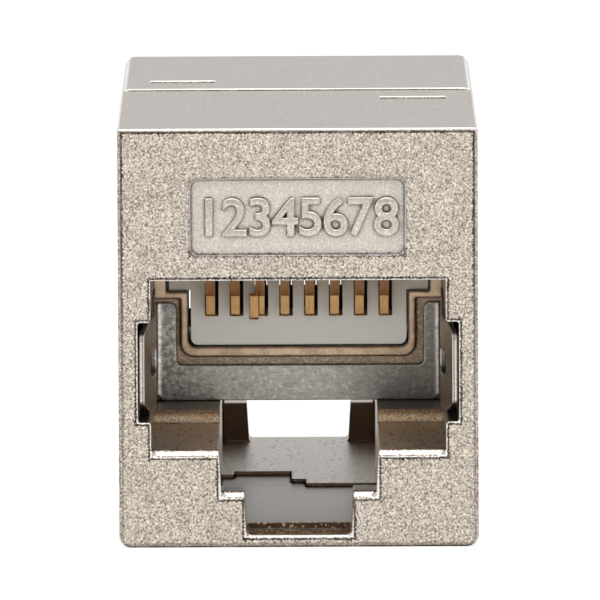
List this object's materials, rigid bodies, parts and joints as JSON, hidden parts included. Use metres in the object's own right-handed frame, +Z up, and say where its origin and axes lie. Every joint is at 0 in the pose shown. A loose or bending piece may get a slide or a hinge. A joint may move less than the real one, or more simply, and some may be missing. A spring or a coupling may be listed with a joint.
{
  "type": "rj45 inline coupler",
  "caption": "Shielded metal block that joins two network plugs end to end, with a plug opening and latch slot at each end",
  "frame": {"origin": "on the underside, in the middle of the block", "axes": "+X to the right seen from the front end, +Y from the front end to the rear end, +Z up"},
  "size_m": [0.0144, 0.0286, 0.0171],
  "materials": {
    "nickel_housing": "satin nickel plating on die-cast zinc, finely grained",
    "shield_steel": "bright rolled sheet",
    "nylon": "semi-matt moulded nylon",
    "contact_gold": "thin gold plating, satin",
    "board": "solder-resist lacquer"
  },
  "bodies": {
    "root": {"circuit_board": "board", "front_contact_1": "contact_gold", "front_contact_2": "contact_gold", "front_contact_3": "contact_gold", "front_contact_4": "contact_gold", "front_contact_5": "contact_gold", "front_contact_6": "contact_gold", "front_contact_7": "contact_gold", "front_contact_8": "contact_gold", "front_contact_carrier": "nylon", "front_housing": "nickel_housing", "front_shield_spring": "shield_steel", "rear_contact_1": "contact_gold", "rear_contact_2": "contact_gold", "rear_contact_3": "contact_gold", "rear_contact_4": "contact_gold", "rear_contact_5": "contact_gold", "rear_contact_6": "contact_gold", "rear_contact_7": "contact_gold", "rear_contact_8": "contact_gold", "rear_contact_carrier": "nylon", "rear_housing": "nickel_housing", "rear_shield_spring": "shield_steel"}
  },
  "joints": []
}
